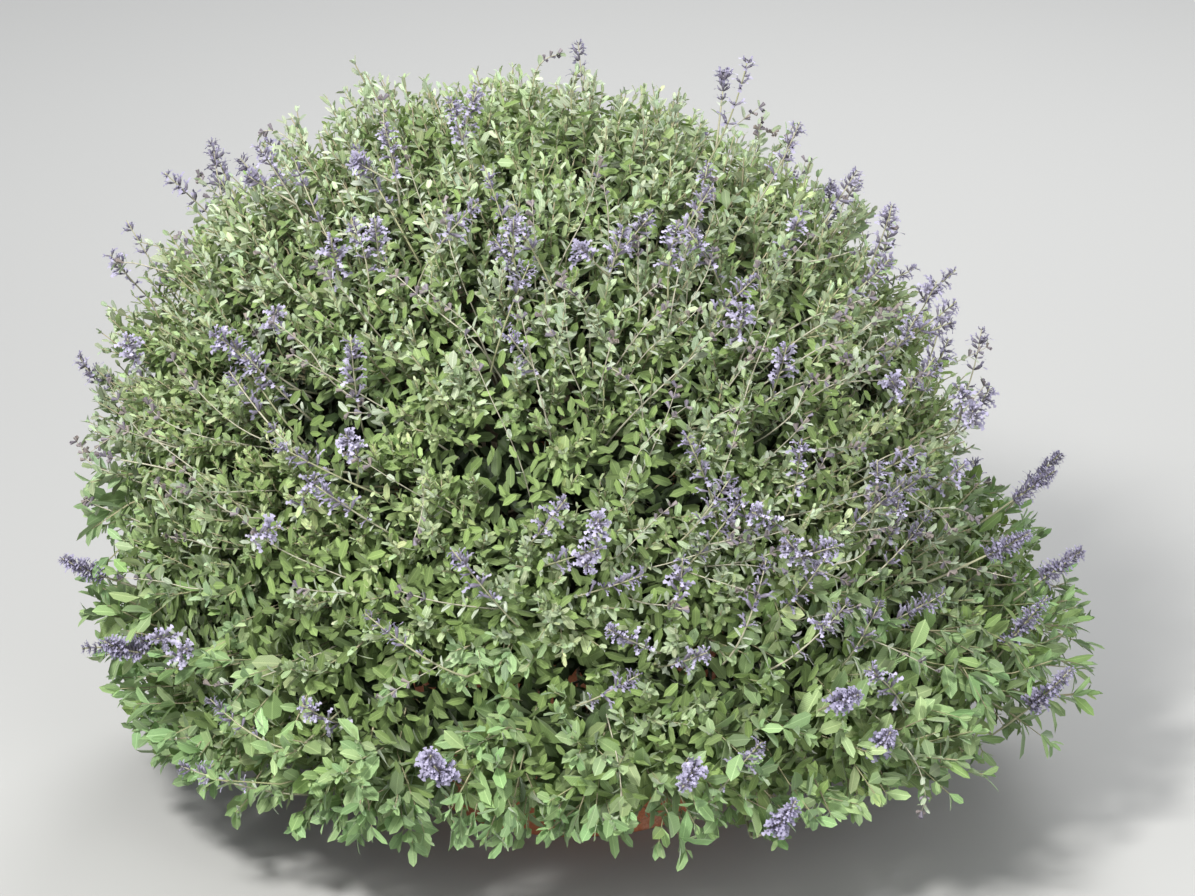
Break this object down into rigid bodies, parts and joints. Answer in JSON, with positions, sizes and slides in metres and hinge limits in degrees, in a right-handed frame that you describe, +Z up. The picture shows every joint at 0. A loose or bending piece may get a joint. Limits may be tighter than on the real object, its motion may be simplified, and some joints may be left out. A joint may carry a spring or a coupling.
{
  "type": "potted san miguel mountain sage",
  "caption": "Wide dome of small grey-green leaves over a skirt of larger ones, with loose lavender-blue flower sprays and dense spikes, growing in a plain round clay pot.",
  "frame": {"origin": "centre of the pot's flat base, on the surface it stands on", "axes": "+Z up through the pot's mouth; -Y towards the side that the picture shows; +X to that view's right"},
  "size_m": [1.062, 1.0022, 0.8072],
  "materials": {
    "clay": "matte",
    "soil": "matte",
    "bark": "matte",
    "dome_leaf": "satin",
    "skirt_leaf": "satin",
    "flower": "matte"
  },
  "bodies": {
    "root": {"pot": "clay", "soil": "soil", "woody_crown": "bark", "leafy_clump_01": "skirt_leaf", "leafy_clump_02": "skirt_leaf", "leafy_clump_03": "skirt_leaf", "leafy_clump_04": "skirt_leaf", "leafy_clump_05": "skirt_leaf", "leafy_clump_06": "skirt_leaf", "leafy_clump_07": "skirt_leaf", "leafy_clump_08": "skirt_leaf", "leafy_clump_09": "skirt_leaf", "leafy_clump_10": "dome_leaf", "leafy_clump_11": "dome_leaf", "leafy_clump_12": "dome_leaf", "leafy_clump_13": "dome_leaf", "leafy_clump_14": "dome_leaf", "leafy_clump_15": "dome_leaf", "leafy_clump_16": "dome_leaf", "leafy_clump_17": "dome_leaf", "leafy_clump_18": "dome_leaf", "leafy_clump_19": "dome_leaf", "leafy_clump_20": "dome_leaf", "leafy_clump_21": "dome_leaf", "leafy_clump_22": "dome_leaf", "leafy_clump_23": "dome_leaf", "leafy_clump_24": "dome_leaf", "leafy_clump_25": "dome_leaf", "leafy_clump_26": "dome_leaf", "flower_spray_01": "flower", "flower_spray_02": "flower", "flower_spray_03": "flower", "flower_spray_04": "flower", "flower_spray_05": "flower", "flower_spray_06": "flower", "flower_spray_07": "flower", "flower_spray_08": "flower", "flower_spray_09": "flower", "flower_spray_10": "flower", "flower_spray_11": "flower", "flower_spray_12": "flower", "flower_spray_13": "flower", "flower_spray_14": "flower", "flower_spray_15": "flower", "flower_spike_16": "flower", "flower_spike_17": "flower", "flower_spike_18": "flower", "flower_spike_19": "flower", "flower_spike_20": "flower", "flower_spike_21": "flower", "flower_spike_22": "flower", "flower_spray_23": "flower", "flower_spike_24": "flower", "flower_spray_25": "flower", "flower_spray_26": "flower", "flower_spray_27": "flower", "flower_spike_28": "flower", "flower_spray_29": "flower", "flower_spray_30": "flower", "flower_spray_31": "flower"}
  },
  "joints": []
}
